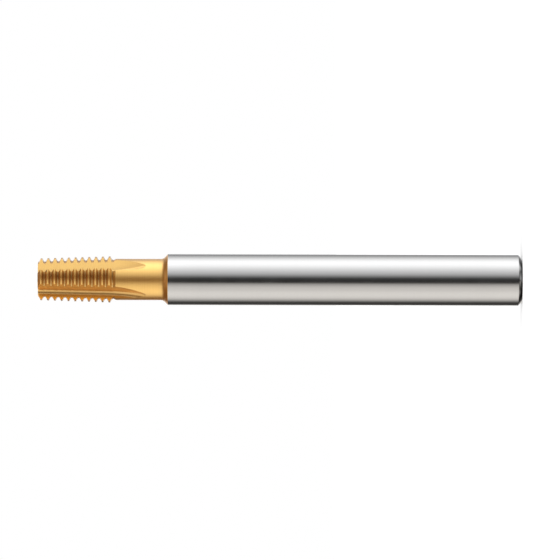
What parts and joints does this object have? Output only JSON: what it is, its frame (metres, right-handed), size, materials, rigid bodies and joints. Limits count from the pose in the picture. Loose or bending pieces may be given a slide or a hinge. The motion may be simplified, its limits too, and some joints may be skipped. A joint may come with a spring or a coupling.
{
  "type": "thread mill",
  "caption": "Round-shank thread mill for taper pipe threads: bare shank, conical shoulder, neck, and a gold-coated tapered head of ringed teeth split by straight flutes into relieved lands.",
  "frame": {"origin": "centre of the flat shank end, where the tool stands", "axes": "+Z along the tool's axis from the shank end to the cutting tip; the first cutting edge lies anticlockwise of +X"},
  "size_m": [0.01, 0.01, 0.095],
  "materials": {
    "carbide": "cylindrically ground bare shank; gold nitride coating from the shoulder to the tip"
  },
  "bodies": {
    "root": {"thread_mill": "carbide"}
  },
  "joints": []
}
